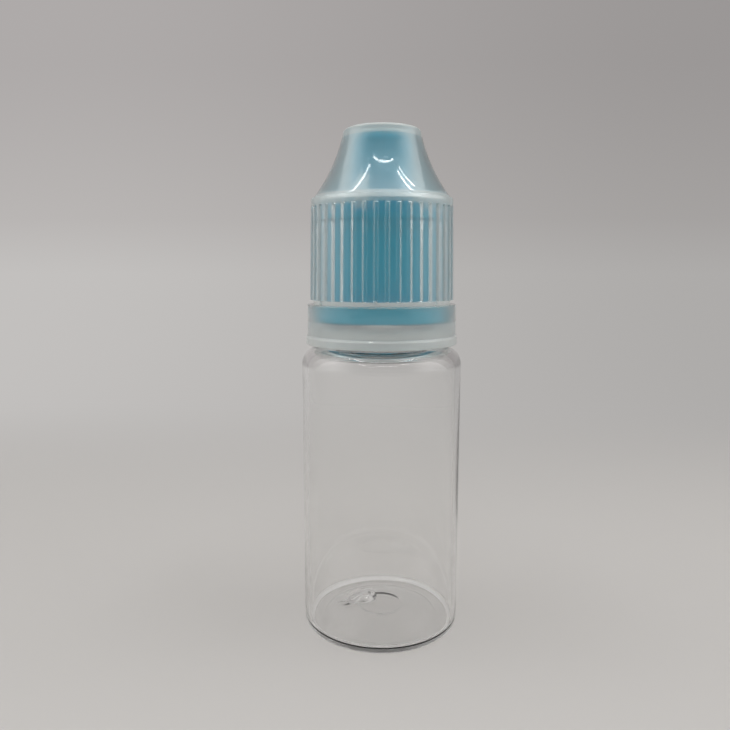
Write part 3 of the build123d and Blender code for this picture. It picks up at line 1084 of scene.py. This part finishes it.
@dataclass
class Studio:
    """Pale paper sweep, soft tent with lamp bars overhead, and the camera of the photograph."""

    lens: float = 32.28  # Focal length in mm for a frame of 36 mm
    place: tuple[float, float, float] = (0.0, -90.6, 49.98)
    down: float = 8.11  # Camera pitch below the horizon in degrees
    left: float = 1.44  # Camera turn to the left in degrees
    bar_height: float = 0.30
    bars: tuple[LampBar, ...] = (
        LampBar("front_bar", (-0.072, -0.142), (0.088, -0.128), 0.008, 18.0),
        LampBar("left_bar", (-0.087, -0.110), (-0.128, 0.030), 0.006, 18.0),
        LampBar("right_bar", (0.098, -0.082), (0.130, 0.020), 0.006, 18.0),
        LampBar("outer_right_bar", (0.114, -0.088), (0.150, 0.014), 0.005, 16.0),
    )
    floor_front: float = -2.5  # Y of the front edge of the paper
    floor_back: float = 0.16  # Y at which the paper starts to curve up
    curve: float = 0.14
    wall_top: float = 0.8
    half_width: float = 0.7
    sink: float = 0.00001  # How far the paper lies below the foot of the bottle
    floor_colour: Colour = (0.575, 0.562, 0.549)
    painted_wall_glow: tuple[tuple[float, Colour], ...] = (  # Painted light falloff up the backdrop, darker towards the top: place on the way up, tone
        (0.15, (0.475, 0.462, 0.452)),
        (0.35, (0.425, 0.408, 0.40)),
        (0.93, (0.372, 0.354, 0.35)),
    )
    wall_height: float = 0.2
    painted_side_glow: Point = (1.14, 0.88)  # Strength of the painted glow at the left and the right: painted light, brighter to the left
    side_reach: float = 0.2  # Distance to either side over which that strength runs
    fade: Point = (0.02, 0.15)  # Y over which the floor turns into that painted glow
    tent_side: float = 0.4  # Brightness of the tent at the sides, where the roof has 1
    tent_front: float = 0.2  # Brightness of the opening in front
    tent_colour: Colour = (1.0, 0.985, 0.97)
    tent_strength: float = 1.84
    opening: tuple[float, float, float] = (0.0, -0.87, 0.5)

    def sweep(self) -> None:
        """Builds the floor that curves up into the backdrop."""
        side = [(self.floor_front, 0.0), (self.floor_back, 0.0)]
        for a in [math.radians(degrees) for degrees in range(6, 91, 6)]:
            side.append((self.floor_back + self.curve * math.sin(a), self.curve * (1 - math.cos(a))))
        side.append((self.floor_back + self.curve, self.wall_top))
        edges = (-self.half_width, self.half_width)
        verts = [(x, y, z - self.sink) for y, z in side for x in edges]
        faces = [(2 * i, 2 * i + 1, 2 * i + 3, 2 * i + 2) for i in range(len(side) - 1)]
        mesh = bpy.data.meshes.new("paper_sweep")
        mesh.from_pydata(verts, [], faces)
        mesh.shade_smooth()
        floor = bpy.data.objects.new("paper_sweep", mesh)
        bpy.context.scene.collection.objects.link(floor)
        mesh.materials.append(self.paper())

    def paper(self) -> Material:
        """Builds the paper: warm pale grey, which beyond the bottle turns into a painted glow up the
        curved backdrop, painted darker towards the top and brighter to the left.

        Returns:
            The finished material.
        """
        made, tree, shader = blank_material("paper_with_painted_glow")
        colour = (*self.floor_colour, 1)
        tree.fill(shader, {"Roughness": 0.9, "Specular IOR Level": 0.1, "Base Color": colour})
        place = tree.node("ShaderNodeTexCoord").outputs["Object"]
        apart = tree.node("ShaderNodeSeparateXYZ", {"Vector": place}).outputs
        rise = tree.ranged(apart["Z"], (0.0, self.wall_height), UNIT, SMOOTH)
        wall = tree.ranged(apart["Y"], self.fade, UNIT, SMOOTH)
        sides = (-self.side_reach, self.side_reach)
        across = tree.ranged(apart["X"], sides, self.painted_side_glow, SMOOTH)
        tone = tree.node("ShaderNodeValToRGB", {"Fac": rise})
        ramp = tone.color_ramp.elements
        low, middle, high = self.painted_wall_glow
        for element, (position, colour) in zip(ramp, (low, high)):
            element.position = position
            element.color = (*colour, 1)
        ramp.new(middle[0]).color = (*middle[1], 1)
        # Painted light: the backdrop glows for the camera and in reflections, with a painted falloff that
        # is darker towards the top and brighter to the left.
        glow = tree.node("ShaderNodeEmission", {"Color": tone.outputs["Color"], "Strength": across})
        path = tree.node("ShaderNodeLightPath").outputs
        seen = tree.math("MAXIMUM", path["Is Camera Ray"], path["Is Transmission Ray"])
        seen = tree.math("MAXIMUM", seen, path["Is Glossy Ray"])
        share = tree.math("MULTIPLY", seen, wall)
        tree.show(share, shader.outputs["BSDF"], glow.outputs["Emission"])
        return made

    def world(self) -> None:
        """Sets the soft light of the tent: bright roof, dimmer sides, a dark opening in front."""
        world = bpy.data.worlds.new("soft_tent")
        bpy.context.scene.world = world
        world.use_nodes = True
        tree = Nodes(world.node_tree)
        place = tree.node("ShaderNodeTexCoord").outputs["Generated"]
        height = tree.node("ShaderNodeSeparateXYZ", {"Vector": place}).outputs["Z"]
        inputs = {0: place, 1: self.opening}
        toward = tree.node("ShaderNodeVectorMath", inputs, operation="DOT_PRODUCT").outputs["Value"]
        roof = tree.ranged(height, (0.1, 0.7), (self.tent_side, 1.0), SMOOTH)
        front = tree.ranged(toward, (0.9, 0.3), (self.tent_front, 1.0), SMOOTH)
        share = tree.math("MULTIPLY", front, roof)
        colour = tree.mix("RGBA", share, (0.0, 0.0, 0.0, 1), (*self.tent_colour, 1))
        inputs = {"Color": colour, "Strength": self.tent_strength}
        tree.fill(world.node_tree.nodes["Background"], inputs)

    def camera(self) -> None:
        """Sets up the camera of the photograph."""
        data = bpy.data.cameras.new("camera")
        data.lens = self.lens
        data.sensor_width = 36.0
        data.clip_start = 0.002
        data.clip_end = 10.0
        camera = bpy.data.objects.new("camera", data)
        camera.location = Vector(self.place) * MM
        turn = (math.radians(90 - self.down), 0, math.radians(self.left))
        camera.rotation_euler = Euler(turn, "XYZ")
        bpy.context.scene.collection.objects.link(camera)
        bpy.context.scene.camera = camera

    def build(self) -> None:
        """Builds the whole studio."""
        self.sweep()
        self.world()
        for bar in self.bars:
            bar.hang(self.bar_height)
        self.camera()
        bpy.context.scene.view_settings.view_transform = "Standard"


def corners(box: tuple[Vector, Vector]) -> list[list[float]]:
    """Turns a box into plain lists."""
    return [list(box[0]), list(box[1])]


def main() -> None:
    """Builds every sub-assembly in order."""
    logging.basicConfig(level=logging.INFO, format="%(name)s: %(message)s")
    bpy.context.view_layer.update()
    for part in (Studio(), BottleBody(), DripInsert(), InnerCap(), OuterCap(), TamperRing()):
        part.build()
        log.info("built %s", type(part).__name__)


if __name__ == "__main__":
    main()
